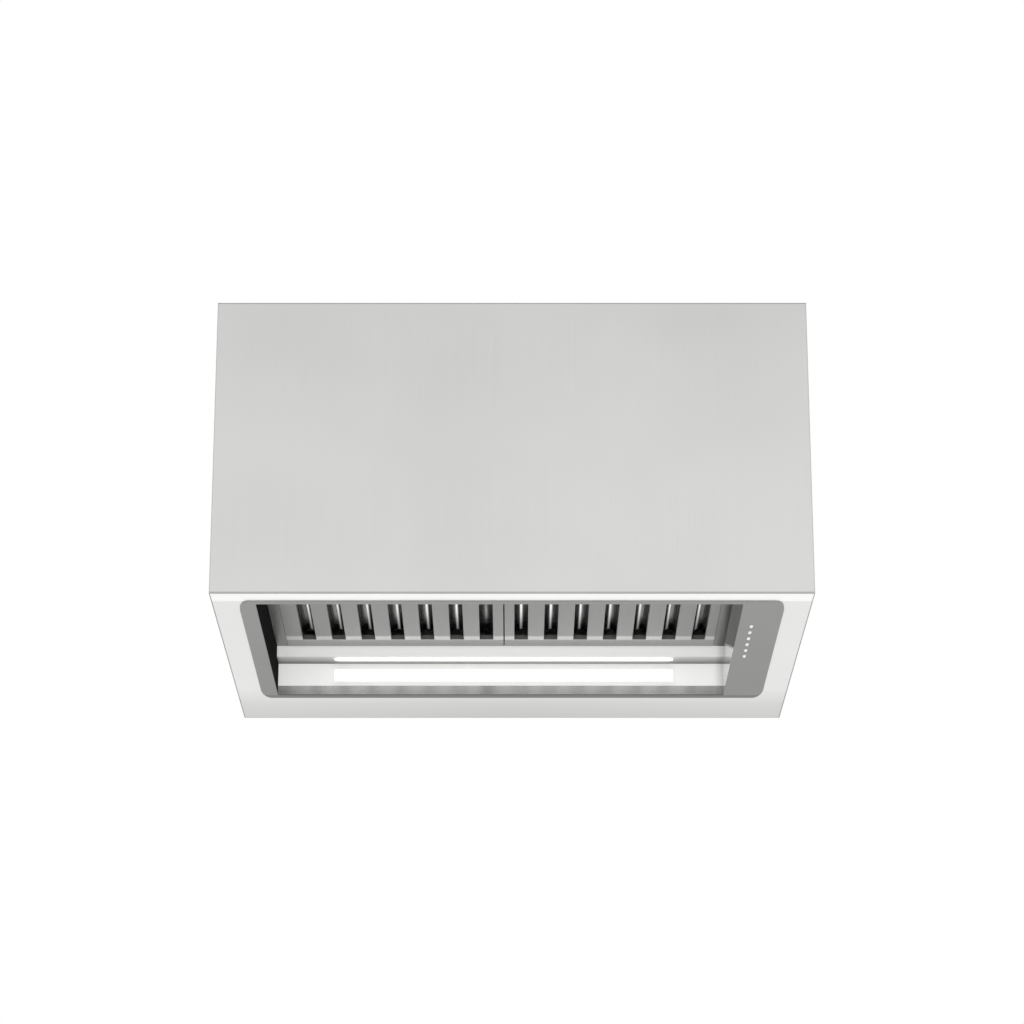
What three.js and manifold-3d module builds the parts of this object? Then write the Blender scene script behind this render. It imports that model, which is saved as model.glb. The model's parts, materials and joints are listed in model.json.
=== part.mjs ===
// Island range hood: a plain box casing hung from a ceiling, with a drawn pan, two baffle filters,
// a light, push buttons and a double-inlet blower inside. Millimetres, +Z up, the front faces -Y.
// The origin is the centre of the underside.
import * as THREE from 'three';
import { mergeVertices } from 'three/addons/utils/BufferGeometryUtils.js';
import Module from 'manifold-3d';

const wasm = await Module();
wasm.setup();

// ---- driving dimensions ----
const WIDTH = 914;
const DEPTH = 700;
const HEIGHT = 476;
const SHEET = 1.2;
const GAP = 0.3;

// The grey face plate and the opening in it, with distances from the casing's front.
const PLATE = { thickness: 1.5, halfWidth: 416, front: 35, rear: 569, cornerX: 16, cornerY: 48 };
const OPENING = { left: -390, right: 352, front: 48, rear: 553, corner: 3 };
const PANEL_Z = PLATE.thickness + GAP;

// The stepped pan: a ledge round the filters, then a shelf for the light lower down at the rear.
const LEDGE_Z = 73;
const SHELF = { z: 54.6, front: 511 };
const LENS_WINDOW = {
  left: -296, right: 268, shelfFront: 519, shelfRear: 537.5, wallLow: 24.4, wallHigh: 45,
};
const LENS_CORNER = 8;

// The filters hang on a rod at their rear and swing down.
const FILTER = { front: 76, rear: 508.5, low: 72, high: 90, slots: 7, pitch: 48.6, slotWidth: 22.4 };
const FILTER_SPAN = { left: -371.5, middle: -13, right: 333.5, gap: 2 };
const LEFT_SLOTS_SHIFT = 5;
const SLOT_ENDS = [112, 471];
const HINGE = { y: 504, z: 78, rodRadius: 2, boreRadius: 2.3 };
const LATCH = { tip: 66, tail: 98, knobY: 88, travel: 10, z: 75.2, thickness: 4, halfWidth: 12 };

const CASING = { left: -375, right: 337, front: 60, rear: 514, low: 74.5, high: 420, wall: 1 };
const BLOWER = { y: 258, z: 262, startRadius: 105, growth: 60, width: 170, throatNear: 20, throatTop: 416 };
const WHEEL = { radius: 90, inner: 74, width: 150, blades: 32 };
const EYE_RADIUS = 68;
const MOTOR = { radius: 42, near: 12, far: 104 };
const COLLAR = { y: DEPTH / 2, radius: 75, wall: 1.2, low: CASING.high + GAP, high: HEIGHT + 50 };
const DAMPER = { z: 446, radius: 71, thickness: 1, offset: 2.5, pinRadius: 1.5 };

const BUTTON = { x: 372, first: 164.5, pitch: 32.4, count: 6, width: 4.6, length: 15, face: 0.2, travel: 1 };
const CONTROL = { left: 357, right: 404, front: 145, rear: 363, low: 3.3, high: 32, wall: 1.5, board: 12 };
const RAIL = { x: 400, width: 40, height: 25, sheet: 2, front: 30, rear: 670 };
const HANGER = { fromMiddle: 250, shank: 4, hole: 4.6, top: HEIGHT + 28 };
const GLAND = { x: -250, y: 600, hole: 17 };
const CAPACITOR = { y: 400, z: CASING.high + GAP + 18, radius: 16 };

const hood = new THREE.Group();

// ---- materials ----
function material(color, roughness, metalness) {
  return new THREE.MeshStandardMaterial({ color, roughness, metalness });
}

const steel = () => material(0xd2d2d0, 0.35, 0.9);
const plateGrey = () => material(0x949492, 0.45, 0.7);
const filterSteel = () => material(0xa6a6a4, 0.3, 1.0);
const galvanised = () => material(0xb4b7ba, 0.5, 0.8);
const opal = () => material(0xffffff, 0.4, 0.0);
const blackPlastic = () => material(0x26272a, 0.5, 0.0);
const circuit = () => material(0x1f5a3a, 0.6, 0.0);
const motorGrey = () => material(0x6d7074, 0.45, 0.6);

// ---- solids ----
const fromFront = (distance) => distance - DEPTH / 2;

function toSolid(geometry) {
  geometry.deleteAttribute('normal');
  geometry.deleteAttribute('uv');
  const merged = mergeVertices(geometry, 1e-4);
  const vertProperties = new Float32Array(merged.attributes.position.array);
  const triVerts = new Uint32Array(merged.index.array);
  return new wasm.Manifold(new wasm.Mesh({ numProp: 3, vertProperties, triVerts }));
}

function join(solids) {
  return solids.reduce((whole, next) => whole.add(next));
}

function cut(whole, tools) {
  return tools.reduce((rest, tool) => rest.subtract(tool), whole);
}

// y values given to the shape helpers are distances from the casing's front.
function block([x0, x1], [y0, y1], [z0, z1]) {
  const box = new THREE.BoxGeometry(x1 - x0, y1 - y0, z1 - z0);
  box.translate((x0 + x1) / 2, fromFront((y0 + y1) / 2), (z0 + z1) / 2);
  return toSolid(box);
}

// Corners are quarter ellipses when the radii across and from front to rear differ.
function roundedRectangle([x0, x1], [y0, y1], radiusX, radiusY = radiusX) {
  const [near, far] = [fromFront(y0), fromFront(y1)];
  const shape = new THREE.Shape();
  shape.absellipse(x1 - radiusX, near + radiusY, radiusX, radiusY, -Math.PI / 2, 0);
  shape.absellipse(x1 - radiusX, far - radiusY, radiusX, radiusY, 0, Math.PI / 2);
  shape.absellipse(x0 + radiusX, far - radiusY, radiusX, radiusY, Math.PI / 2, Math.PI);
  shape.absellipse(x0 + radiusX, near + radiusY, radiusX, radiusY, Math.PI, 1.5 * Math.PI);
  shape.closePath();
  return shape;
}

function slab(shape, [z0, z1], curveSegments = 3) {
  const geometry = new THREE.ExtrudeGeometry(shape, { depth: z1 - z0, bevelEnabled: false, curveSegments });
  geometry.translate(0, 0, z0);
  return toSolid(geometry);
}

function outline(points) {
  return new THREE.Shape(points.map(([a, b]) => new THREE.Vector2(a, b)));
}

// A profile of [distance from the front, height] points, run along X.
function runX(points, [x0, x1]) {
  const shape = outline(points.map(([y, z]) => [fromFront(y), z]));
  const geometry = new THREE.ExtrudeGeometry(shape, { depth: x1 - x0, bevelEnabled: false });
  const turn = new THREE.Matrix4();
  turn.makeBasis(new THREE.Vector3(0, 1, 0), new THREE.Vector3(0, 0, 1), new THREE.Vector3(1, 0, 0));
  geometry.applyMatrix4(turn);
  geometry.translate(x0, 0, 0);
  return toSolid(geometry);
}

// A profile of [x, height] points, run along Y.
function runY(points, [y0, y1]) {
  const geometry = new THREE.ExtrudeGeometry(outline(points), { depth: y1 - y0, bevelEnabled: false });
  const turn = new THREE.Matrix4();
  turn.makeBasis(new THREE.Vector3(1, 0, 0), new THREE.Vector3(0, 0, 1), new THREE.Vector3(0, -1, 0));
  geometry.applyMatrix4(turn);
  geometry.translate(0, fromFront(y1), 0);
  return toSolid(geometry);
}

function rodX(radius, [x0, x1], y, z, sides = 24) {
  const geometry = new THREE.CylinderGeometry(radius, radius, x1 - x0, sides);
  geometry.rotateZ(Math.PI / 2);
  geometry.translate((x0 + x1) / 2, fromFront(y), z);
  return toSolid(geometry);
}

function rodZ(radius, x, y, [z0, z1], sides = 24) {
  const geometry = new THREE.CylinderGeometry(radius, radius, z1 - z0, sides);
  geometry.rotateX(Math.PI / 2);
  geometry.translate(x, fromFront(y), (z0 + z1) / 2);
  return toSolid(geometry);
}

function tubeX(outer, inner, span, y, z, sides = 48) {
  return rodX(outer, span, y, z, sides).subtract(rodX(inner, [span[0] - 1, span[1] + 1], y, z, sides));
}

function addPart(name, solid, partMaterial) {
  const { vertProperties, triVerts } = solid.getMesh();
  const geometry = new THREE.BufferGeometry();
  geometry.setAttribute('position', new THREE.BufferAttribute(vertProperties, 3));
  geometry.setIndex(new THREE.BufferAttribute(triVerts, 1));
  geometry.computeVertexNormals();
  const mesh = new THREE.Mesh(geometry, partMaterial);
  mesh.name = name;
  hood.add(mesh);
}

// ---- casing ----
const WALL_SPAN_Z = [PANEL_Z, HEIGHT - SHEET - GAP];
const RETURN_WIDTH = 18;

// A front or rear sheet: full width, with a return folded inward along each side.
function wallPanel(facing) {
  const outer = facing === 'front' ? 0 : DEPTH;
  const inward = facing === 'front' ? 1 : -1;
  const span = (near, far) => [outer + inward * near, outer + inward * far].sort((a, b) => a - b);
  const returnOuter = WIDTH / 2 - SHEET - GAP;
  const sheet = block([-WIDTH / 2, WIDTH / 2], span(0, SHEET), WALL_SPAN_Z);
  const left = block([-returnOuter, SHEET - returnOuter], span(0.5, RETURN_WIDTH), [20, WALL_SPAN_Z[1]]);
  const right = block([returnOuter - SHEET, returnOuter], span(0.5, RETURN_WIDTH), [20, WALL_SPAN_Z[1]]);
  return join([sheet, left, right]);
}

function sidePanel(side) {
  const x = side * WIDTH / 2;
  const span = [x, x - side * SHEET].sort((a, b) => a - b);
  return block(span, [SHEET + GAP, DEPTH - SHEET - GAP], WALL_SPAN_Z);
}

function bottomPanel() {
  const edge = SHEET + GAP;
  const halfWidth = WIDTH / 2 - edge;
  const rim = 14;
  const tray = block([-halfWidth, halfWidth], [edge, DEPTH - edge], [PANEL_Z, PANEL_Z + rim]);
  const inside = block(
    [SHEET - halfWidth, halfWidth - SHEET],
    [edge + SHEET, DEPTH - edge - SHEET],
    [PANEL_Z + SHEET, PANEL_Z + rim + 1],
  );
  const cutOut = block([-402, 406], [46, 560], [0, PANEL_Z + rim]);
  return cut(tray, [inside, cutOut]);
}

const hangerPoints = [-1, 1].flatMap((side) => [-1, 1].map((end) => (
  { x: side * RAIL.x, y: DEPTH / 2 + end * HANGER.fromMiddle }
)));

function topPanel() {
  const top = block([-WIDTH / 2, WIDTH / 2], [0, DEPTH], [HEIGHT - SHEET, HEIGHT]);
  const through = [HEIGHT - 10, HEIGHT + 10];
  const holes = hangerPoints.map(({ x, y }) => rodZ(HANGER.hole, x, y, through));
  holes.push(rodZ(COLLAR.radius + 2.5, 0, COLLAR.y, through, 48));
  holes.push(rodZ(GLAND.hole, GLAND.x, GLAND.y, through));
  return cut(top, holes);
}

// A channel, open downward, that spreads the hood's weight to two hangers.
function hangerRail(side) {
  const high = HEIGHT - SHEET - GAP;
  const [x0, x1] = [side * RAIL.x - RAIL.width / 2, side * RAIL.x + RAIL.width / 2];
  const low = high - RAIL.height;
  const profile = [
    [x0, low], [x0 + RAIL.sheet, low], [x0 + RAIL.sheet, high - RAIL.sheet],
    [x1 - RAIL.sheet, high - RAIL.sheet], [x1 - RAIL.sheet, low], [x1, low], [x1, high], [x0, high],
  ];
  const holes = hangerPoints.map(({ x, y }) => rodZ(HANGER.hole, x, y, [low, HEIGHT]));
  return cut(runY(profile, [RAIL.front, RAIL.rear]), holes);
}

function hangerBolt({ x, y }) {
  const under = HEIGHT - SHEET - GAP - RAIL.sheet - GAP;
  const head = rodZ(7.5, x, y, [under - 5.5, under], 6);
  const shank = rodZ(HANGER.shank, x, y, [under - 2, HANGER.top], 16);
  return head.add(shank);
}

// ---- underside ----
function facePlate() {
  const plate = roundedRectangle(
    [-PLATE.halfWidth, PLATE.halfWidth], [PLATE.front, PLATE.rear], PLATE.cornerX, PLATE.cornerY,
  );
  plate.holes.push(roundedRectangle(
    [OPENING.left, OPENING.right], [OPENING.front, OPENING.rear], OPENING.corner,
  ));
  buttonPlaces.forEach((y) => plate.holes.push(roundedRectangle(
    [BUTTON.x - BUTTON.width / 2 - 0.4, BUTTON.x + BUTTON.width / 2 + 0.4],
    [y - BUTTON.length / 2 - 0.4, y + BUTTON.length / 2 + 0.4],
    BUTTON.width / 2 + 0.3,
  )));
  return slab(plate, [0, PLATE.thickness], 8);
}

// The pan is folded from one sheet: flange, front wall, ledge, wall, shelf and rear wall.
function drawnPan() {
  const low = PANEL_Z;
  const { left, right, front, rear } = OPENING;
  const outside = [left - SHEET, right + SHEET];
  const full = join([
    block(outside, [front - SHEET, SHELF.front + SHEET], [low, LEDGE_Z + SHEET]),
    block(outside, [SHELF.front, rear + SHEET], [low, SHELF.z + SHEET]),
  ]);
  const hollow = join([
    block([left, right], [front, SHELF.front], [low - 1, LEDGE_Z]),
    block([left, right], [SHELF.front - 1, rear], [low - 1, SHELF.z]),
  ]);
  const filterHole = block(
    [FILTER_SPAN.left - 0.5, FILTER_SPAN.right + 0.5],
    [FILTER.front - 1, SHELF.front],
    [LEDGE_Z - 1, LEDGE_Z + 5],
  );
  const { left: lensLeft, right: lensRight, shelfFront, shelfRear, wallLow, wallHigh } = LENS_WINDOW;
  const shelfWindow = slab(
    roundedRectangle([lensLeft, lensRight], [shelfFront, shelfRear], LENS_CORNER), [SHELF.z - 1, SHELF.z + 3],
  );
  const wallWindow = block([lensLeft, lensRight], [rear - 1, rear + 3], [wallLow, wallHigh]);
  const flangeZ = [PANEL_Z + SHEET + GAP, PANEL_Z + 2 * SHEET + GAP];
  const flange = join([
    block([left - 22, left - 0.5], [front - 18, rear + 20], flangeZ),
    block([left - 22, right + SHEET], [front - 18, front - 0.5], flangeZ),
    block([left - 22, right + SHEET], [rear + 0.5, rear + 20], flangeZ),
  ]);
  return cut(full, [hollow, filterHole, shelfWindow, wallWindow]).add(flange);
}

// One opal moulding behind the shelf and the rear wall, with a raised pad in each window.
function lightLens() {
  const { left, right, shelfFront, shelfRear, wallLow, wallHigh } = LENS_WINDOW;
  const clear = GAP;
  const wallBack = OPENING.rear + SHEET + clear;
  const shelfBack = SHELF.z + SHEET + clear;
  const thickness = 2;
  const across = [left + clear, right - clear];
  return join([
    block([left - 6, right + 6], [shelfFront - 6, wallBack + thickness], [shelfBack, shelfBack + thickness]),
    block([left - 6, right + 6], [wallBack, wallBack + thickness], [wallLow - 5, shelfBack + 0.5]),
    slab(
      roundedRectangle(across, [shelfFront + clear, shelfRear - clear], LENS_CORNER - clear),
      [SHELF.z + clear, shelfBack + 0.5],
    ),
    block(across, [OPENING.rear + clear, wallBack + 0.5], [wallLow + clear, wallHigh - clear]),
  ]);
}

// A bent cover that holds the lens and shades the light from above and behind.
function ledChannel() {
  const profile = [
    [517, 58.6], [518.2, 58.6], [518.2, 74.8], [568, 74.8], [568, 12],
    [569.2, 12], [569.2, 76], [517, 76],
  ];
  return runX(profile, [LENS_WINDOW.left - 8, LENS_WINDOW.right + 8]);
}

function ledBoard() {
  const { left, right } = LENS_WINDOW;
  const z = 66;
  const chips = [];
  const count = 16;
  for (let i = 0; i < count; i += 1) {
    const x = left + 15 + (i * (right - left - 30)) / (count - 1);
    chips.push(block([x - 2.5, x + 2.5], [533, 538], [z - 1.4, z + 0.5]));
  }
  return join([block([left, right], [523, 548], [z, z + 1.6]), ...chips]);
}

function ledDriver() {
  return join([
    block([-70, 70], [612, 652], [4, 30]),
    block([-84, 84], [618, 646], [PANEL_Z + SHEET + GAP, 5.5]),
  ]);
}

// ---- controls ----
const buttonPlaces = Array.from({ length: BUTTON.count }, (_, i) => BUTTON.first + i * BUTTON.pitch);

function button(y) {
  const grow = 1.6;
  const cap = slab(roundedRectangle(
    [BUTTON.x - BUTTON.width / 2, BUTTON.x + BUTTON.width / 2],
    [y - BUTTON.length / 2, y + BUTTON.length / 2],
    BUTTON.width / 2 - 0.1,
  ), [BUTTON.face, 3], 2);
  const flange = block(
    [BUTTON.x - BUTTON.width / 2 - grow, BUTTON.x + BUTTON.width / 2 + grow],
    [y - BUTTON.length / 2 - grow, y + BUTTON.length / 2 + grow],
    [PLATE.thickness + GAP, PLATE.thickness + GAP + 1.2],
  );
  const stem = rodZ(1.5, BUTTON.x, y, [2.5, CONTROL.board - BUTTON.travel - GAP], 12);
  return join([cap, flange, stem]);
}

function controlHousing() {
  const { left, right, front, rear, low, high, wall } = CONTROL;
  const outer = block([left, right], [front, rear], [low, high]);
  const inner = block([left + wall, right - wall], [front + wall, rear - wall], [low - 1, high - wall]);
  const cableHole = rodZ(4, (left + right) / 2 + 8, front + 20, [high - 5, high + 5], 16);
  const posts = [front + 8, rear - 8].map((y) => (
    block([390, 395], [y - 3, y + 3], [CONTROL.board + 2, high - 1])
  ));
  return join([cut(outer, [inner, cableHole]), ...posts]);
}

function controlBoard() {
  const { left, right, front, rear, wall, board } = CONTROL;
  const clear = wall + 1;
  const sheet = block([left + clear, right - clear], [front + clear, rear - clear], [board, board + 1.6]);
  const parts = [
    block([388, 398], [200, 216], [board + 1, board + 8]),
    block([366, 376], [240, 252], [board + 1, board + 5]),
    block([386, 400], [290, 300], [board + 1, board + 10]),
  ];
  return join([sheet, ...parts]);
}

// ---- filters ----
function filterSpan(side) {
  const { left, middle, right, gap } = FILTER_SPAN;
  return side === 'left' ? [left, middle - gap / 2] : [middle + gap / 2, right];
}

function slotCentres(side) {
  const [x0, x1] = filterSpan(side);
  const middle = (x0 + x1) / 2 + (side === 'left' ? LEFT_SLOTS_SHIFT : 0);
  const first = middle - ((FILTER.slots - 1) / 2) * FILTER.pitch;
  return Array.from({ length: FILTER.slots }, (_, i) => first + i * FILTER.pitch);
}

// The tray of a baffle filter: flat lands between slots with upturned lips, side walls all round,
// a hinge bar along the rear and a guide for the latch at the front.
function filterFrame(side) {
  const [x0, x1] = filterSpan(side);
  const { front, rear, low, high, slotWidth } = FILTER;
  const lip = 1;
  const [slotFront, slotRear] = SLOT_ENDS;
  const outer = block([x0, x1], [front, rear], [low, high]);
  const inner = block([x0 + SHEET, x1 - SHEET], [front + SHEET, rear - 9], [low + SHEET, high + 1]);
  const pieces = [outer.subtract(inner)];
  const tools = [];
  slotCentres(side).forEach((x) => {
    const [a, b] = [x - slotWidth / 2, x + slotWidth / 2];
    pieces.push(block([a - lip, b + lip], [slotFront - lip, slotRear + lip], [low + 0.5, low + 8]));
    tools.push(block([a, b], [slotFront, slotRear], [low - 1, low + 9]));
  });
  const middle = (x0 + x1) / 2;
  const { halfWidth, z, thickness, knobY, travel } = LATCH;
  const guideInner = halfWidth + 0.5;
  const boltZ = [z - 0.5, z + thickness + 0.5];
  pieces.push(block([middle - guideInner - 1.5, middle - guideInner], [front + 4, 104], [low + 0.5, 82]));
  pieces.push(block([middle + guideInner, middle + guideInner + 1.5], [front + 4, 104], [low + 0.5, 82]));
  pieces.push(block([middle - guideInner - 1, middle + guideInner + 1], [80, 84], [z + thickness + 0.5, 82]));
  tools.push(block([middle - guideInner, middle + guideInner], [front - 2, front + 3], boltZ));
  tools.push(block([middle - 5.5, middle + 5.5], [knobY - 5.5, knobY + travel + 5.9], [low - 1, low + 2]));
  const beyond = [x0 - 1, x1 + 1];
  const boreZ = [HINGE.z - HINGE.boreRadius, HINGE.z + HINGE.boreRadius];
  tools.push(rodX(HINGE.boreRadius, beyond, HINGE.y, HINGE.z));
  tools.push(block(beyond, [HINGE.y, rear + 1], boreZ));
  tools.push(block(beyond, [rear - 9, rear + 1], [84, high + 1]));
  return cut(join(pieces), tools);
}

// Ridged channels, open downward, one over each slot and joined by a bar at each end.
function upperBaffles(side) {
  const halfSpan = 16.5;
  const rise = 12;
  const base = 79.3;
  const sheet = 1.1;
  const crown = 1.6;
  const stations = [-1, -0.7, -0.45, -0.28, -0.14, 0, 0.14, 0.28, 0.45, 0.7, 1];
  const ridge = (x, half, height) => stations.map((share) => (
    [x + half * share, base + height * (1 - Math.abs(share) ** crown)]
  ));
  const centres = slotCentres(side);
  const channels = centres.map((x) => runY(
    [...ridge(x, halfSpan, rise), ...ridge(x, halfSpan - sheet, rise - sheet).reverse()], [114, 469],
  ));
  const reach = [centres[0] - halfSpan, centres.at(-1) + halfSpan];
  const bars = [[114, 120], [463, 469]].map((y) => block(reach, y, [base + rise - 1.4, base + rise + 1]));
  return join([...channels, ...bars]);
}

function filterLatch(side) {
  const [x0, x1] = filterSpan(side);
  const middle = (x0 + x1) / 2;
  const { tip, tail, knobY, z, thickness, halfWidth } = LATCH;
  return join([
    block([middle - halfWidth, middle + halfWidth], [tip, tail], [z, z + thickness]),
    rodZ(5, middle, knobY, [63, z + 1], 20),
    rodZ(9, middle, knobY, [59, 64], 24),
  ]);
}

function hingeRod() {
  const clear = CASING.wall + GAP;
  return rodX(HINGE.rodRadius, [CASING.left + clear, CASING.right - clear], HINGE.y, HINGE.z, 16);
}

// ---- air path ----
const CASING_TOP_Z = [CASING.high - CASING.wall, CASING.high];
const CASING_WALL_Z = [CASING.low, CASING.high - CASING.wall - GAP];

function casingEnd(y) {
  return block([CASING.left, CASING.right], [y, y + CASING.wall], CASING_WALL_Z);
}

function casingSide(x) {
  const inset = CASING.wall + GAP;
  return block([x, x + CASING.wall], [CASING.front + inset, CASING.rear - inset], CASING_WALL_Z);
}

function casingTop() {
  const top = block([CASING.left, CASING.right], [CASING.front, CASING.rear], CASING_TOP_Z);
  return top.subtract(rodZ(COLLAR.radius - 2, 0, COLLAR.y, [CASING.high - 5, CASING.high + 5], 48));
}

// The scroll's side outline: a spiral that opens into a straight throat pointing up.
function scrollOutline(inset) {
  const { y, z, startRadius, growth, throatNear, throatTop } = BLOWER;
  const steps = 27;
  const points = [[y + throatNear + inset, throatTop + (inset ? 1 : 0)]];
  for (let i = 0; i <= steps; i += 1) {
    const share = i / steps;
    const angle = Math.PI / 2 + 1.5 * Math.PI * share;
    const radius = startRadius + growth * share - inset;
    points.push([y + radius * Math.cos(angle), z + radius * Math.sin(angle)]);
  }
  points.push([y + startRadius + growth - inset, throatTop + (inset ? 1 : 0)]);
  return points;
}

function scrollWrap() {
  const half = BLOWER.width / 2 - SHEET - GAP;
  return runX(scrollOutline(0), [-half, half]).subtract(runX(scrollOutline(SHEET), [-half - 1, half + 1]));
}

function scrollSide(side) {
  const outer = side * BLOWER.width / 2;
  const span = [outer, outer - side * SHEET].sort((a, b) => a - b);
  const eye = rodX(EYE_RADIUS + 8.5, [span[0] - 5, span[1] + 5], BLOWER.y, BLOWER.z, 40);
  return runX(scrollOutline(0), span).subtract(eye);
}

// A rolled ring that guides air into one eye of the scroll.
function inletRing(side) {
  const half = BLOWER.width / 2;
  const profile = [
    [EYE_RADIUS, half - 7], [EYE_RADIUS + 1.5, half - 7], [EYE_RADIUS + 3, half + GAP],
    [EYE_RADIUS + 16, half + GAP], [EYE_RADIUS + 16, half + GAP + 1.5],
    [EYE_RADIUS + 2, half + GAP + 1.5], [EYE_RADIUS, half - 7],
  ];
  const geometry = new THREE.LatheGeometry(profile.map(([r, h]) => new THREE.Vector2(r, h)), 32);
  geometry.rotateZ(-side * Math.PI / 2);
  geometry.translate(0, fromFront(BLOWER.y), BLOWER.z);
  return toSolid(geometry);
}

function impeller() {
  const { radius, inner, width, blades } = WHEEL;
  const half = width / 2;
  const { y, z } = BLOWER;
  const pieces = [
    rodX(radius, [-1, 1], y, z, 32),
    rodX(14, [-8, 8], y, z, 16),
    tubeX(radius, inner - 1, [-half, 2 - half], y, z, 32),
    tubeX(radius, inner - 1, [half - 2, half], y, z, 32),
  ];
  for (let i = 0; i < blades; i += 1) {
    const blade = new THREE.BoxGeometry(width - 2, 12.5, 1);
    blade.rotateX(0.5);
    blade.translate(0, (radius + inner) / 2 - 0.5, 0);
    blade.rotateX((2 * Math.PI * i) / blades);
    blade.translate(0, fromFront(y), z);
    pieces.push(toSolid(blade));
  }
  return join(pieces).subtract(rodX(4.3, [-20, 20], y, z, 16));
}

function motorShaft() {
  return rodX(4, [-12, MOTOR.near + 10], BLOWER.y, BLOWER.z, 16);
}

function motor() {
  const { radius, near, far } = MOTOR;
  const { y, z } = BLOWER;
  const body = join([
    rodX(radius, [near, far - 12], y, z, 36),
    rodX(radius - 8, [far - 14, far], y, z, 36),
  ]);
  return body.subtract(rodX(4.35, [near - 1, near + 11], y, z, 20));
}

// A ring round the motor with three arms that reach the scroll's side.
function motorBracket() {
  const { y, z } = BLOWER;
  const x = BLOWER.width / 2;
  const ring = tubeX(MOTOR.radius + 3.5, MOTOR.radius + GAP, [x - 20, x + 8], y, z, 36);
  const arms = [0, 1, 2].map((i) => {
    const arm = new THREE.BoxGeometry(3, 50, 14);
    arm.translate(x + 5.5, MOTOR.radius + 26.5, 0);
    arm.rotateX(Math.PI / 2 + (i * 2 * Math.PI) / 3);
    arm.translate(0, fromFront(y), z);
    return toSolid(arm);
  });
  return join([ring, ...arms]);
}

function capacitor() {
  const { y, z } = CAPACITOR;
  return rodX(CAPACITOR.radius, [130, 195], y, z, 24).add(rodX(11, [194, 199], y, z, 16));
}

function capacitorStrap() {
  const { y, z } = CAPACITOR;
  const band = tubeX(17.6, 16.3, [155, 168], y, z, 24);
  const feet = [-1, 1].map((side) => block(
    [155, 168], [y + side * 24 - 10, y + side * 24 + 10], [CASING.high + GAP, CASING.high + GAP + 1.5],
  ));
  const bridge = block([155, 168], [y - 16, y + 16], [CASING.high + GAP, CASING.high + GAP + 1.5]);
  return join([band, ...feet, bridge]).subtract(rodX(16.3, [154, 169], y, z, 24));
}

function ductCollar() {
  const { y, radius, wall, low, high } = COLLAR;
  const inside = [low - 1, high + 1];
  const tube = rodZ(radius, 0, y, [low, high], 48);
  const flange = rodZ(radius + 16, 0, y, [low, low + 1.5], 48);
  return tube.add(flange).subtract(rodZ(radius - wall, 0, y, inside, 48));
}

function damperPin() {
  const reach = COLLAR.radius - COLLAR.wall - 1;
  return rodX(DAMPER.pinRadius, [-reach, reach], COLLAR.y, DAMPER.z, 12);
}

// A half disc that lies level when shut; side is -1 for the front flap and 1 for the rear one.
function damperFlap(side) {
  const { z, radius, thickness, offset } = DAMPER;
  const disc = rodZ(radius, 0, COLLAR.y, [z - thickness / 2, z + thickness / 2], 48);
  const edge = COLLAR.y + side * offset;
  const half = side > 0 ? [COLLAR.y - 90, edge] : [edge, COLLAR.y + 90];
  return disc.subtract(block([-90, 90], half, [z - 5, z + 5]));
}

// ---- wiring ----
function junctionBox() {
  const outer = block([-300, -200], [560, 640], [426, 473]);
  const inner = block([-297.5, -202.5], [562.5, 637.5], [425, 470.5]);
  return cut(outer, [inner, rodZ(8, GLAND.x, GLAND.y, [466, 476], 20)]);
}

function junctionBoxLid() {
  return join([
    block([-301, -199], [559, 641], [423.2, 425.7]),
    block([-296, -204], [564, 636], [425, 428]),
  ]);
}

function cableGland() {
  const { x, y } = GLAND;
  const body = join([
    rodZ(15, x, y, [473.3, HEIGHT + 5], 6),
    rodZ(12, x, y, [HEIGHT + 4, HEIGHT + 20], 20),
    rodZ(7.5, x, y, [467, HEIGHT + 1], 20),
  ]);
  return body.subtract(rodZ(4.5, x, y, [450, HEIGHT + 30], 16));
}

// ---- assembly ----
addPart('front_panel', wallPanel('front'), steel());
addPart('rear_panel', wallPanel('rear'), steel());
addPart('left_side_panel', sidePanel(-1), steel());
addPart('right_side_panel', sidePanel(1), steel());
addPart('bottom_panel', bottomPanel(), steel());
addPart('top_panel', topPanel(), steel());
addPart('left_hanger_rail', hangerRail(-1), galvanised());
addPart('right_hanger_rail', hangerRail(1), galvanised());
hangerPoints.forEach((place, i) => addPart(`hanger_bolt_${i + 1}`, hangerBolt(place), galvanised()));

addPart('face_plate', facePlate(), plateGrey());
addPart('drawn_pan', drawnPan(), steel());
addPart('light_lens', lightLens(), opal());
addPart('led_channel', ledChannel(), galvanised());
addPart('led_board', ledBoard(), circuit());
addPart('led_driver', ledDriver(), blackPlastic());

addPart('control_housing', controlHousing(), blackPlastic());
addPart('control_board', controlBoard(), circuit());
buttonPlaces.forEach((y, i) => addPart(`button_${i + 1}`, button(y), opal()));

addPart('filter_hinge_rod', hingeRod(), steel());
['left', 'right'].forEach((side) => {
  addPart(`${side}_filter_frame`, filterFrame(side), filterSteel());
  addPart(`${side}_filter_baffles`, upperBaffles(side), filterSteel());
  addPart(`${side}_filter_latch`, filterLatch(side), filterSteel());
});

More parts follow.
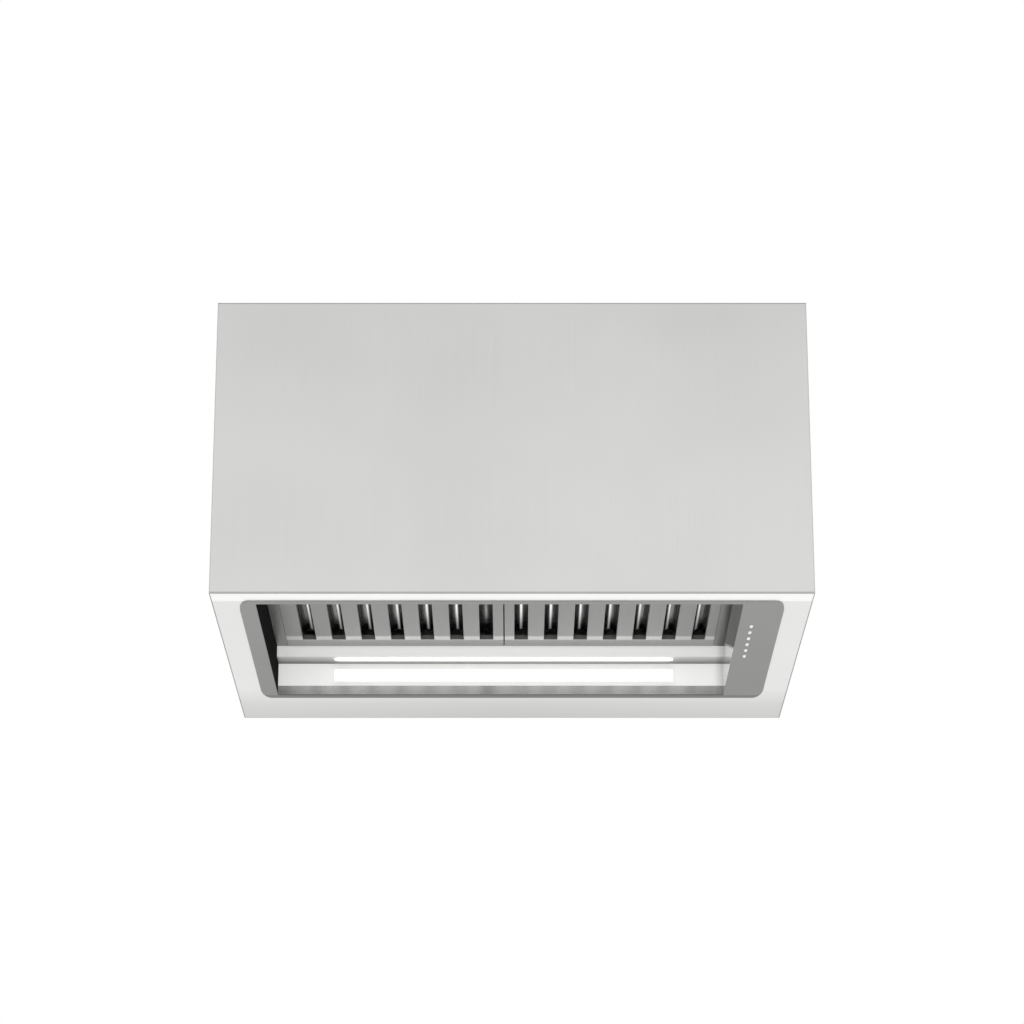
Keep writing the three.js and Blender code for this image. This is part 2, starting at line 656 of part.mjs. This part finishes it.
addPart('casing_front', casingEnd(CASING.front), galvanised());
addPart('casing_rear', casingEnd(CASING.rear - CASING.wall), galvanised());
addPart('casing_left_side', casingSide(CASING.left), galvanised());
addPart('casing_right_side', casingSide(CASING.right - CASING.wall), galvanised());
addPart('casing_top', casingTop(), galvanised());
addPart('scroll_wrap', scrollWrap(), galvanised());
addPart('scroll_left_side', scrollSide(-1), galvanised());
addPart('scroll_right_side', scrollSide(1), galvanised());
addPart('left_inlet_ring', inletRing(-1), galvanised());
addPart('right_inlet_ring', inletRing(1), galvanised());
addPart('impeller', impeller(), galvanised());
addPart('motor_shaft', motorShaft(), steel());
addPart('motor', motor(), motorGrey());
addPart('motor_bracket', motorBracket(), galvanised());
addPart('capacitor', capacitor(), blackPlastic());
addPart('capacitor_strap', capacitorStrap(), galvanised());
addPart('duct_collar', ductCollar(), galvanised());
addPart('damper_pin', damperPin(), steel());
addPart('front_damper_flap', damperFlap(-1), galvanised());
addPart('rear_damper_flap', damperFlap(1), galvanised());

addPart('junction_box', junctionBox(), galvanised());
addPart('junction_box_lid', junctionBoxLid(), galvanised());
addPart('cable_gland', cableGland(), blackPlastic());

export default hood;
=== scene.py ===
"""Looks of the island range hood: materials, edges, fasteners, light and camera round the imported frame."""

import json
import math

import bmesh
import bpy
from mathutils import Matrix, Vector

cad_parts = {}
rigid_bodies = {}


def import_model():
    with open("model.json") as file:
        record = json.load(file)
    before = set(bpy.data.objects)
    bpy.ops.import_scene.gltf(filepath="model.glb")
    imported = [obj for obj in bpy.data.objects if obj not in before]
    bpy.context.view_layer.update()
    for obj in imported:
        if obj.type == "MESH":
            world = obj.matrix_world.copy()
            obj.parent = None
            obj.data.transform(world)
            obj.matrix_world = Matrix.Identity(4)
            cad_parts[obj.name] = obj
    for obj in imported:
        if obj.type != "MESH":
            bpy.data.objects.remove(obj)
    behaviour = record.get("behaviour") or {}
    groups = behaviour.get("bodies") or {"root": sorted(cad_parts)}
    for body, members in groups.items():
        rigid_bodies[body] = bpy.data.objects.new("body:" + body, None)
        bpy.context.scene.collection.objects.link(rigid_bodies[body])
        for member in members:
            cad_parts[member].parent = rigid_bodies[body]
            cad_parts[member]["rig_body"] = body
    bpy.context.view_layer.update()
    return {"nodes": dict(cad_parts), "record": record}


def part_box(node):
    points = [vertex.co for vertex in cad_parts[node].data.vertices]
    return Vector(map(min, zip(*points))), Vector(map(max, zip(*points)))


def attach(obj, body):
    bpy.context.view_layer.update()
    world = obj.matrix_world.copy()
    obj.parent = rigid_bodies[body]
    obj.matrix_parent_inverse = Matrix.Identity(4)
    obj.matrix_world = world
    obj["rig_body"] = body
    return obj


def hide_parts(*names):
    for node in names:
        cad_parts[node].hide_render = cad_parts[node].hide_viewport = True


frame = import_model()
nodes = frame["nodes"]
MM = 0.001

# ---- places of the CAD that the looks depend on ----
front_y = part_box("front_panel")[0].y
rear_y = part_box("rear_panel")[1].y
casing_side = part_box("front_panel")[1].x
top_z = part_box("top_panel")[1].z
plate_low, plate_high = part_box("face_plate")
pan_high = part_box("drawn_pan")[1]
lens_low, lens_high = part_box("light_lens")
filter_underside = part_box("left_filter_frame")[0].z
baffle_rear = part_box("left_filter_baffles")[1].y

PLATE_RIM = 16.0 * MM
PAN_SHEET = 1.2 * MM
LENS_FLANGE = 6.0 * MM
SLOT_PITCH = 48.6 * MM
LAST_SLOT = 3
BAFFLE_SHORT = 2.0 * MM
opening_rear = plate_high.y - PLATE_RIM
pan_right = pan_high.x - PAN_SHEET
ledge_z = pan_high.z - PAN_SHEET
lens_middle = (lens_low.x + lens_high.x) / 2
window_half = (lens_high.x - lens_low.x) / 2 - LENS_FLANGE
slot_rear = baffle_rear + BAFFLE_SHORT

# ---- camera: below the hood and far in front of it, tilted up ----
CAMERA_BACK = 4.711
CAMERA_DROP = 1.496
CAMERA_TILT = 19.063
LENS_MM = 115.3
SENSOR_MM = 36.0


def make_camera():
    data = bpy.data.cameras.new("camera")
    data.lens = LENS_MM
    data.sensor_width = SENSOR_MM
    camera = bpy.data.objects.new("camera", data)
    camera.location = (0.0, front_y - CAMERA_BACK, -CAMERA_DROP)
    camera.rotation_euler = (math.radians(90.0 + CAMERA_TILT), 0.0, 0.0)
    bpy.context.scene.collection.objects.link(camera)
    bpy.context.scene.camera = camera


# ---- material helpers ----
CLOUD_RANGE = (0.3, 0.7)
STREAK_RANGE = (0.25, 0.75)
STEEL_TINT = (1.0, 1.0, 0.985)
WHITE_GLOW = (1.0, 1.0, 0.99, 1.0)


class Nodes:
    """A short way to build a material: each maths call adds nodes and returns their output socket."""

    def __init__(self, name):
        self.material = bpy.data.materials.new(name)
        self.material.use_nodes = True
        self.tree = self.material.node_tree
        self.shader = self.tree.nodes["Principled BSDF"]
        coordinates = self.tree.nodes.new("ShaderNodeTexCoord")
        self.coords = coordinates.outputs["Object"]
        self.own_normal = coordinates.outputs["Normal"]

    def feed(self, socket, value):
        if isinstance(value, (int, float)):
            socket.default_value = value
        else:
            self.tree.links.new(value, socket)

    # inputs of the surface
    def paint(self, value, tint=STEEL_TINT):
        """Gives the surface a grey tone with a slight tint."""
        node = self.tree.nodes.new("ShaderNodeCombineColor")
        for channel, share in zip(("Red", "Green", "Blue"), tint):
            self.feed(node.inputs[channel], self.both(value, share))
        self.feed(self.shader.inputs["Base Color"], node.outputs["Color"])

    def rough(self, value):
        self.feed(self.shader.inputs["Roughness"], value)

    def metal(self, value):
        self.feed(self.shader.inputs["Metallic"], value)

    def glow(self, strength, colour=WHITE_GLOW):
        self.shader.inputs["Emission Color"].default_value = colour
        self.feed(self.shader.inputs["Emission Strength"], strength)

    def bump(self, height, strength, distance):
        node = self.tree.nodes.new("ShaderNodeBump")
        node.inputs["Strength"].default_value = strength
        node.inputs["Distance"].default_value = distance
        self.feed(node.inputs["Height"], height)
        self.feed(self.shader.inputs["Normal"], node.outputs["Normal"])

    # patterns
    def stretched(self, x, y, z):
        node = self.tree.nodes.new("ShaderNodeMapping")
        node.inputs["Scale"].default_value = (x, y, z)
        self.feed(node.inputs["Vector"], self.coords)
        return node.outputs["Vector"]

    def noise(self, vector, scale, detail=3.0, roughness=0.55):
        node = self.tree.nodes.new("ShaderNodeTexNoise")
        node.inputs["Scale"].default_value = scale
        node.inputs["Detail"].default_value = detail
        node.inputs["Roughness"].default_value = roughness
        self.feed(node.inputs["Vector"], vector)
        return node.outputs["Fac"]

    def brushing(self, along, slow, fine=900.0, roughness=0.55):
        """Fine lines drawn out along one axis."""
        scales = [slow if letter == along else fine for letter in "XYZ"]
        return self.noise(self.stretched(*scales), 1.0, 2.0, roughness)

    def diodes(self):
        """A soft change along X, as over a row of diodes."""
        return self.noise(self.stretched(30.0, 1.0, 1.0), 1.0, 1.0)

    # places
    def part_of(self, vector, letter):
        node = self.tree.nodes.new("ShaderNodeSeparateXYZ")
        self.feed(node.inputs["Vector"], vector)
        return node.outputs[letter]

    def axis(self, letter):
        return self.part_of(self.coords, letter)

    def facing(self, letter):
        """1 where a face looks mostly along one axis of the scene."""
        geometry = self.tree.nodes.new("ShaderNodeNewGeometry")
        return self.above(self.magnitude(self.part_of(geometry.outputs["True Normal"], letter)), 0.7)

    def facing_down(self):
        """1 where a face looks toward the underside of its own piece, however the piece is turned."""
        return self.below(self.part_of(self.own_normal, "Z"), -0.1)

    # maths
    def math(self, operation, a, b=0.0):
        node = self.tree.nodes.new("ShaderNodeMath")
        node.operation = operation
        self.feed(node.inputs[0], a)
        self.feed(node.inputs[1], b)
        return node.outputs[0]

    def ramp(self, value, low, high, start=0.0, end=1.0):
        """Goes from low to high while the value goes from start to end."""
        node = self.tree.nodes.new("ShaderNodeMapRange")
        node.inputs["From Min"].default_value = start
        node.inputs["From Max"].default_value = end
        node.inputs["To Min"].default_value = low
        node.inputs["To Max"].default_value = high
        self.feed(node.inputs["Value"], value)
        return node.outputs["Result"]

    def mix(self, share, a, b):
        node = self.tree.nodes.new("ShaderNodeMix")
        node.data_type = "FLOAT"
        self.feed(node.inputs["Factor"], share)
        self.feed(node.inputs[2], a)
        self.feed(node.inputs[3], b)
        return node.outputs[0]

    def sum(self, first, *others):
        for other in others:
            first = self.math("ADD", first, other)
        return first

    def both(self, a, b):
        return self.math("MULTIPLY", a, b)

    def less(self, a, b):
        return self.math("SUBTRACT", a, b)

    def magnitude(self, value):
        return self.math("ABSOLUTE", value)

    def distance(self, value, middle):
        return self.magnitude(self.less(value, middle))

    def above(self, value, limit):
        return self.math("GREATER_THAN", value, limit)

    def below(self, value, limit):
        return self.math("LESS_THAN", value, limit)


# ---- casing ----
HEM_HIGH = 5.0 * MM
HEM_END = 0.4 * MM
RIM_WIDTH = 1.3 * MM
TONE_TOP = 6.0 * MM
HEM_SHADE = 0.34
RIM_SHADE = 0.22


def casing_steel():
    """Satin steel, a touch darker toward the top, with painted shade along the hem and at the upright edges.
    """
    m = Nodes("casing_brushed_steel")
    off_middle, z = m.magnitude(m.axis("X")), m.axis("Z")
    clouds = m.noise(m.coords, 3.2, 1.5, 0.45)
    streaks = m.brushing("Z", 4.0, roughness=0.6)
    upward = m.ramp(z, 0.69, 0.625, 0.0, top_z - TONE_TOP)
    value = m.sum(
        upward,
        m.ramp(clouds, -0.022, 0.022, *CLOUD_RANGE),
        m.ramp(streaks, -0.012, 0.012, *STREAK_RANGE),
    )
    # painted shade: a painted shadow line along the bottom hem, and painted shade along the upright edges,
    # which also darkens the side panels
    hem = m.both(m.below(z, HEM_HIGH), m.below(off_middle, casing_side - HEM_END))
    rim = m.above(off_middle, casing_side - RIM_WIDTH)
    shade = m.math("MAXIMUM", m.both(hem, HEM_SHADE), m.both(rim, RIM_SHADE))
    m.paint(m.both(value, m.less(1.0, shade)))
    m.rough(m.ramp(m.noise(m.coords, 9.0, 4.0), 0.34, 0.43, *CLOUD_RANGE))
    m.metal(1.0)
    m.bump(streaks, 0.08, 0.0002)
    return m.material


LIP_DEPTH = 38.0 * MM
REAR_EDGE = 4.5 * MM
SHADE_START = 180.0 * MM
SHADE_FULL = 90.0 * MM
SHADE_DEEPEN = 110.0 * MM
SHADE_SPAN = 420.0 * MM


def underside_steel():
    """The casing steel again, painted lighter for the underside, with a painted glow along the front lip and
    painted shade behind the face plate.
    """
    m = Nodes("underside_brushed_steel")
    x, y = m.axis("X"), m.axis("Y")
    clouds = m.noise(m.coords, 3.2, 1.5, 0.45)
    streaks = m.brushing("X", 4.0, roughness=0.6)
    # painted shade behind the face plate, deeper toward the rear, toward the middle and along the rear edge
    shade_behind_plate = m.ramp(y, 0.0, 1.0, rear_y - SHADE_START, rear_y - SHADE_FULL)
    shade = m.sum(
        m.ramp(y, 0.12, 0.20, rear_y - SHADE_DEEPEN, rear_y),
        m.ramp(m.magnitude(x), 0.05, 0.0, 0.0, SHADE_SPAN),
        m.both(m.above(y, rear_y - REAR_EDGE), 0.12),
    )
    # the base is painted lighter than the casing steel, for the light the underside gets from below
    value = m.less(m.ramp(clouds, 0.90, 0.93, *CLOUD_RANGE), m.both(shade_behind_plate, shade))
    m.paint(m.sum(value, m.ramp(streaks, -0.010, 0.010, *STREAK_RANGE)))
    m.rough(m.ramp(clouds, 0.42, 0.50, *CLOUD_RANGE))
    m.metal(1.0)
    # painted glow along the front lip, though it is no lamp
    m.glow(m.both(m.below(y, front_y + LIP_DEPTH), 0.16))
    m.bump(streaks, 0.08, 0.0002)
    return m.material


# ---- face plate ----
STRIP_FRONT = 5.0 * MM
STRIP_REAR = 3.0 * MM


def face_plate_steel():
    """Matt grey metal, a touch darker toward the rear, with a painted shade strip behind its opening and fine
    grain along its length.
    """
    m = Nodes("face_plate_grey")
    y = m.axis("Y")
    streaks = m.brushing("X", 6.0)
    clouds = m.noise(m.coords, 7.0, 2.0)
    value = m.sum(
        m.ramp(y, 0.315, 0.275, plate_low.y, plate_high.y),
        m.ramp(streaks, -0.012, 0.012, *STREAK_RANGE),
        m.ramp(clouds, -0.008, 0.008),
    )
    # painted shade: a dark strip along the rear edge of the opening
    rear_strip_shade = m.ramp(y, 0.0, 1.0, opening_rear - STRIP_FRONT, opening_rear + STRIP_REAR)
    m.paint(m.mix(rear_strip_shade, value, 0.185))
    m.rough(m.ramp(clouds, 0.42, 0.52))
    m.metal(0.55)
    m.bump(streaks, 0.08, 0.0002)
    return m.material


# ---- pan ----
SHELF_FRONT = lens_low.y - 2.0 * MM
SHELF_BEND = 4.0 * MM
REAR_WALL_FRONT = lens_low.y + 27.0 * MM
MIRROR_FOOT = 2.0 * MM
MIRROR_TOP = 16.6 * MM
REFLECTION_SLOPE = 3.0
REFLECTION_LINE = (-78.0 * MM, -62.0 * MM)
LENS_FADE = 10.0 * MM
LEDGE_END = (14.0 * MM, 6.0 * MM)
CORNER_WIDTH = 15.0 * MM


def pan_steel():
    """The pan's tone is set face by face from where each face lies, with painted shade, painted reflection
    and painted glow: the left end painted near black as shade, the shelf and the ledge's right end painted
    darker, painted shade toward the right corner, and painted light on the walls.
    """
    m = Nodes("pan_polished_steel")
    x, y, z = m.axis("X"), m.axis("Y"), m.axis("Z")
    end, wall = m.facing("X"), m.facing("Y")
    right = m.above(x, 0.0)
    low_wall = m.both(wall, m.below(z, MIRROR_TOP))
    high_wall = m.both(wall, m.above(z, MIRROR_TOP))
    off_lens = m.distance(x, lens_middle)
    beside_lens = m.ramp(off_lens, 0.0, 1.0, window_half - LENS_FADE, window_half + LENS_FADE)
    # the rear of the right end gets a painted reflection of the walls, up to a slanting line
    slant = m.less(y, m.both(z, REFLECTION_SLOPE))
    end_painted_reflection = m.both(m.both(end, right), m.ramp(slant, 0.0, 1.0, *REFLECTION_LINE))
    # painted shade: the shelf darkens toward the rear; painted light from the lens brightens it beside the
    # lens
    shelf_painted_shading = m.ramp(y, 0.60, 0.10, SHELF_FRONT + SHELF_BEND, opening_rear)
    shelf_painted_shading = m.sum(shelf_painted_shading, m.both(m.less(1.0, beside_lens), 0.14))
    # painted shade toward the right end of the ledge
    ledge_end_shade = m.ramp(x, 0.22, 0.13, *(pan_right - inset for inset in LEDGE_END))
    ledge_tone = m.mix(right, 0.25, ledge_end_shade)
    value = m.mix(wall, m.mix(m.above(y, SHELF_FRONT), ledge_tone, shelf_painted_shading), 0.78)
    value = m.mix(low_wall, value, 0.92)
    # the left end is painted near black as shade; the right end is grey, lighter upward
    end_painted_shade = m.mix(right, 0.004, m.ramp(z, 0.20, 0.26, 0.0, ledge_z))
    value = m.mix(end, value, m.mix(end_painted_reflection, end_painted_shade, 0.93))
    # painted shade toward the right corner, on all but the end faces
    corner_shade = m.mix(end, m.ramp(x, 1.0, 0.60, pan_right - CORNER_WIDTH, pan_right), 1.0)
    streaks = m.brushing("X", 4.0, 700.0)
    m.paint(m.sum(m.both(value, corner_shade), m.ramp(streaks, -0.004, 0.004, *STREAK_RANGE)))
    roughness = m.mix(low_wall, m.mix(wall, 0.32, 0.50), 0.16)
    m.rough(m.mix(end, roughness, m.mix(end_painted_reflection, 1.0, 0.12)))
    metallic = m.mix(low_wall, m.mix(wall, 0.7, 0.10), 1.0)
    m.metal(m.mix(end, metallic, end_painted_reflection))
    # painted glow on the walls stands in for the lens's light reflected in them; it is lower beside the lens
    # and fades toward the right corner
    high_wall_painted_glow = m.mix(m.above(y, REAR_WALL_FRONT), 0.36, m.mix(beside_lens, 0.30, 0.44))
    low_wall_painted_glow = m.ramp(z, 0.09, 0.17, MIRROR_FOOT, MIRROR_TOP)
    m.glow(m.both(m.sum(m.both(high_wall, high_wall_painted_glow), m.both(low_wall, low_wall_painted_glow)), corner_shade))
    m.shader.inputs["Specular IOR Level"].default_value = 0.05
    m.bump(streaks, 0.05, 0.0002)
    return m.material


# ---- filters ----
UNDERSIDE_SKIN = 0.9 * MM
BAND_FADE = (23.0 * MM, 15.0 * MM)
BAND_REAR = 1.2 * MM


def filter_steel():
    """Satin filter steel with fine grain along the baffles, a painted highlight band on the underside at the
    slots' ends and a slightly lighter underside behind it.
    """
    m = Nodes("filter_bright_steel")
    y = m.axis("Y")
    clouds = m.noise(m.coords, 14.0, 2.0)
    streaks = m.brushing("Y", 5.0)
    under = m.below(m.axis("Z"), filter_underside + UNDERSIDE_SKIN)
    before = m.below(y, slot_rear + BAND_REAR)
    # painted highlight: a lighter band where the underside bends at the slots' ends
    slot_end_highlight = m.both(m.ramp(y, 0.0, 1.0, *(slot_rear - inset for inset in BAND_FADE)), before)
    value = m.sum(
        m.ramp(clouds, 0.29, 0.32, *CLOUD_RANGE),
        m.ramp(streaks, -0.012, 0.012, *STREAK_RANGE),
        m.both(m.both(slot_end_highlight, under), 0.30),
        m.both(m.both(m.above(y, slot_rear + BAND_REAR), under), 0.08),
    )
    m.paint(value)
    m.rough(m.ramp(clouds, 0.42, 0.48, *CLOUD_RANGE))
    m.metal(0.9)
    m.bump(streaks, 0.08, 0.0002)
    return m.material


HIGHLIGHT_LEAN = 1.012
HIGHLIGHT_START = -10.0 * MM
HIGHLIGHT_HALF = (0.012, 0.075)
UPPER_SIDE_GAIN = 11.0


def baffle_steel(side):
    """Channels painted near black underneath as shade, each with a painted highlight glowing along its crown;
    the left filter's last one has no painted highlight.
    """
    m = Nodes(side + "_baffle_steel")
    low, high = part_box(side + "_filter_baffles")
    # painted highlight: a glowing line along each channel's crown, on the underside only, fading toward the
    # rear
    shifted = m.both(m.axis("X"), HIGHLIGHT_LEAN)
    steps = m.math("DIVIDE", m.less(shifted, (low.x + high.x) / 2), SLOT_PITCH)
    offset = m.distance(steps, m.math("ROUND", steps))
    highlight_across = m.ramp(offset, 1.0, 0.0, *HIGHLIGHT_HALF)
    along = m.ramp(m.axis("Y"), 0.82, 0.14, HIGHLIGHT_START, baffle_rear)
    if side == "left":
        along = m.both(along, m.below(steps, LAST_SLOT - 0.5))
    streaks = m.brushing("Y", 5.0)
    under = m.facing_down()
    # painted shade: the underside is painted near black, and the upper side gets this tone raised by
    # UPPER_SIDE_GAIN
    tone = m.ramp(streaks, 0.018, 0.036, *STREAK_RANGE)
    m.paint(m.both(tone, m.mix(under, UPPER_SIDE_GAIN, 1.0)))
    m.rough(m.ramp(streaks, 0.14, 0.22, *STREAK_RANGE))
    m.metal(0.9)
    m.glow(m.both(m.both(highlight_across, highlight_across), m.both(along, under)))
    m.bump(streaks, 0.04, 0.0001)
    return m.material


# ---- lights ----
WALL_WINDOW = (24.4 * MM, 45.0 * MM)
WINDOW_FADE = 3.8 * MM
SHELF_PART = 50.0 * MM


def opal_lens():
    """The light: even over the shelf, softer toward the long edges of the strip in the wall."""
    m = Nodes("opal_lens")
    z = m.axis("Z")
    grain = m.noise(m.coords, 500.0, 2.0)
    m.paint(m.ramp(grain, 0.86, 0.90))
    m.rough(m.ramp(grain, 0.30, 0.40))
    low, high = WALL_WINDOW
    half = (high - low) / 2
    edge = m.ramp(m.distance(z, (low + high) / 2), 1.0, 0.62, half - WINDOW_FADE, half)
    edge = m.mix(m.above(z, SHELF_PART), edge, 1.0)
    m.glow(m.both(edge, m.ramp(m.diodes(), 1.08, 1.16, *CLOUD_RANGE)), (1.0, 0.998, 0.99, 1.0))
    return m.material


BUTTON_GLOW = 0.28
BUTTON_RIPPLE = 0.05


def button_plastic():
    """Opal plastic lit weakly from behind, a touch brighter over the diodes."""
    m = Nodes("button_glow")
    grain = m.noise(m.coords, 500.0, 2.0)
    m.paint(m.ramp(grain, 0.60, 0.66))
    m.rough(m.ramp(grain, 0.30, 0.40))
    dim, bright = BUTTON_GLOW * (1.0 - BUTTON_RIPPLE), BUTTON_GLOW * (1.0 + BUTTON_RIPPLE)
    m.glow(m.ramp(m.diodes(), dim, bright, *CLOUD_RANGE), (1.0, 0.995, 0.98, 1.0))
    return m.material


# ---- inner pieces ----
def plastic(name, colour, roughness, grain_scale=900.0):
    """One colour with slow patches of a darker tone and a fine moulded grain."""
    m = Nodes(name)
    node = m.tree.nodes.new("ShaderNodeMix")
    node.data_type = "RGBA"
    dark = tuple(channel * 0.8 for channel in colour)
    node.inputs["A"].default_value = (*dark, 1.0)
    node.inputs["B"].default_value = (*colour, 1.0)
    m.feed(node.inputs["Factor"], m.noise(m.coords, 25.0, 3.0))
    m.feed(m.shader.inputs["Base Color"], node.outputs["Result"])
    grain = m.noise(m.coords, grain_scale, 2.0)
    m.rough(m.ramp(grain, roughness - 0.06, roughness + 0.06))
    m.bump(grain, 0.15, 0.0001)
    return m.material


def galvanised():
    """Zinc-coated sheet: a patchwork of crystal tones."""
    m = Nodes("galvanised_sheet")
    cells = m.tree.nodes.new("ShaderNodeTexVoronoi")
    cells.inputs["Scale"].default_value = 70.0
    m.feed(cells.inputs["Vector"], m.coords)
    tone = m.tree.nodes.new("ShaderNodeSeparateColor")
    m.feed(tone.inputs["Color"], cells.outputs["Color"])
    haze = m.noise(m.coords, 12.0, 3.0)
    m.paint(m.sum(m.ramp(tone.outputs["Red"], 0.50, 0.62), m.ramp(haze, -0.05, 0.05)), (0.98, 1.0, 1.02))
    m.rough(m.ramp(tone.outputs["Green"], 0.34, 0.50))
    m.metal(0.9)
    m.bump(tone.outputs["Red"], 0.05, 0.0001)
    return m.material


def turned_steel():
    """Bright rods with fine turning marks round them."""
    m = Nodes("turned_steel")
    rings = m.noise(m.stretched(1500.0, 40.0, 40.0), 1.0, 2.0)
    m.paint(m.ramp(rings, 0.46, 0.56))
    m.rough(m.ramp(rings, 0.22, 0.36))
    m.metal(1.0)
    m.bump(rings, 0.06, 0.0001)
    return m.material


# ---- piece helpers ----
SHARP_ANGLE = 35.0
BEVEL_ANGLE = 40.0
FLAT_ANGLE = 1.0
SAME_PLACE = 0.001 * MM


def give(material, name):
    slots = nodes[name].data.materials
    slots.clear()
    slots.append(material)


def smooth_by_angle(obj):
    obj.data.shade_smooth()
    obj.data.set_sharp_from_angle(angle=math.radians(SHARP_ANGLE))


def refine(name, width, material, segments=2):
    """Stands a copy with softly rounded edges in for a CAD node."""
    source = nodes[name]
    mesh = bmesh.new()
    mesh.from_mesh(source.data)
    bmesh.ops.remove_doubles(mesh, verts=mesh.verts, dist=SAME_PLACE)
    bmesh.ops.dissolve_limit(mesh, angle_limit=math.radians(FLAT_ANGLE), verts=mesh.verts, edges=mesh.edges)
    data = bpy.data.meshes.new(name + "_finish")
    mesh.to_mesh(data)
    mesh.free()
    piece = bpy.data.objects.new(name + "_finish", data)
    bpy.context.scene.collection.objects.link(piece)
    bevel = piece.modifiers.new("edges", "BEVEL")
    bevel.width = width
    bevel.segments = segments
    bevel.limit_method = "ANGLE"
    bevel.angle_limit = math.radians(BEVEL_ANGLE)
    bevel.harden_normals = True
    bevel.use_clamp_overlap = True
    data.materials.append(material)
    smooth_by_angle(piece)
    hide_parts(name)
    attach(piece, source["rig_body"])


SCREW_RADIUS = 4.2 * MM
SCREW_HEIGHT = 2.0 * MM
SCREW_INSET = 9.0 * MM
LONG_STEP = 215.0 * MM
SHORT_STEP = 170.0 * MM


def add_screw(name, x, y, material):
    """A pan-head screw with a round recess, its head resting on the top sheet."""
    mesh = bmesh.new()
    bmesh.ops.create_cone(
        mesh, cap_ends=True, segments=24, radius1=SCREW_RADIUS, radius2=0.8 * SCREW_RADIUS, depth=SCREW_HEIGHT
    )
    crown = max(mesh.faces, key=lambda face: face.calc_center_median().z)
    bmesh.ops.inset_individual(mesh, faces=[crown], thickness=0.35 * SCREW_RADIUS)
    bmesh.ops.translate(mesh, verts=crown.verts, vec=(0.0, 0.0, -0.45 * SCREW_HEIGHT))
    data = bpy.data.meshes.new(name)
    mesh.to_mesh(data)
    mesh.free()
    data.materials.append(material)
    screw = bpy.data.objects.new(name, data)
    screw.location = (x, y, top_z + SCREW_HEIGHT / 2)
    bpy.context.scene.collection.objects.link(screw)
    smooth_by_angle(screw)
    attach(screw, "hood")


def screw_places():
    """A screw row along each edge of the top sheet: five at front and rear, three at each side."""
    row_y, row_x = rear_y - SCREW_INSET, casing_side - SCREW_INSET
    long_rows = [(step * LONG_STEP, side * row_y) for step in range(-2, 3) for side in (-1, 1)]
    short_rows = [(side * row_x, step * SHORT_STEP) for step in range(-1, 2) for side in (-1, 1)]
    return long_rows + short_rows


# ---- stage and light ----
FLOOR_DROP = 2.4
FLOOR_SIZE = 60.0


def add_stage():
    bpy.ops.mesh.primitive_plane_add(size=FLOOR_SIZE, location=(0.0, 0.0, -FLOOR_DROP))
    floor = bpy.context.object
    floor.name = "floor"
    m = Nodes("pale_floor")
    m.paint(m.ramp(m.noise(m.coords, 0.6, 2.0), 0.86, 0.88), (1.0, 1.0, 1.0))
    m.rough(0.9)
    floor.data.materials.append(m.material)


def add_light():
    world = bpy.data.worlds.new("studio")
    world.use_nodes = True
    background = world.node_tree.nodes["Background"]
    background.inputs["Color"].default_value = (1.0, 1.0, 1.0, 1.0)
    background.inputs["Strength"].default_value = 1.0
    bpy.context.scene.world = world
    bpy.context.scene.view_settings.view_transform = "Standard"


# ---- assembly ----
SHEET_EDGE = 0.4 * MM
DRAWN_EDGE = 0.3 * MM
FOLDED_EDGE = 0.5 * MM
BUTTON_EDGE = 0.25 * MM
MOTOR_EDGE = 1.5 * MM

make_camera()
add_stage()
add_light()

casing = casing_steel()
for panel in ("front_panel", "rear_panel", "left_side_panel", "right_side_panel", "top_panel"):
    refine(panel, SHEET_EDGE, casing)
refine("bottom_panel", SHEET_EDGE, underside_steel())
refine("face_plate", SHEET_EDGE, face_plate_steel())
refine("drawn_pan", DRAWN_EDGE, pan_steel())
refine("light_lens", DRAWN_EDGE, opal_lens())

filters = filter_steel()
for side in ("left", "right"):
    refine(side + "_filter_frame", FOLDED_EDGE, filters)
    give(baffle_steel(side), side + "_filter_baffles")
    refine(side + "_filter_latch", SHEET_EDGE, filters)

buttons = button_plastic()
for index in range(1, 7):
    refine(f"button_{index}", BUTTON_EDGE, buttons)

black = plastic("black_plastic", (0.030, 0.030, 0.034), 0.50)
for name in ("led_driver", "control_housing", "capacitor", "cable_gland"):
    refine(name, FOLDED_EDGE, black)
board = plastic("circuit_board", (0.03, 0.15, 0.07), 0.42, 300.0)
for name in ("led_board", "control_board"):
    give(board, name)
enamel = plastic("motor_enamel", (0.16, 0.17, 0.18), 0.38, 240.0)
refine("motor", MOTOR_EDGE, enamel, 3)

turned = turned_steel()
for name in ("filter_hinge_rod", "motor_shaft", "damper_pin"):
    give(turned, name)
    smooth_by_angle(nodes[name])
zinc = galvanised()
for row in frame["record"]["subparts"]:
    if row["material_slot"] == "galvanised":
        give(zinc, row["node"])
        smooth_by_angle(nodes[row["node"]])

for number, (x, y) in enumerate(screw_places(), start=1):
    add_screw(f"top_screw_{number}", x, y, turned)
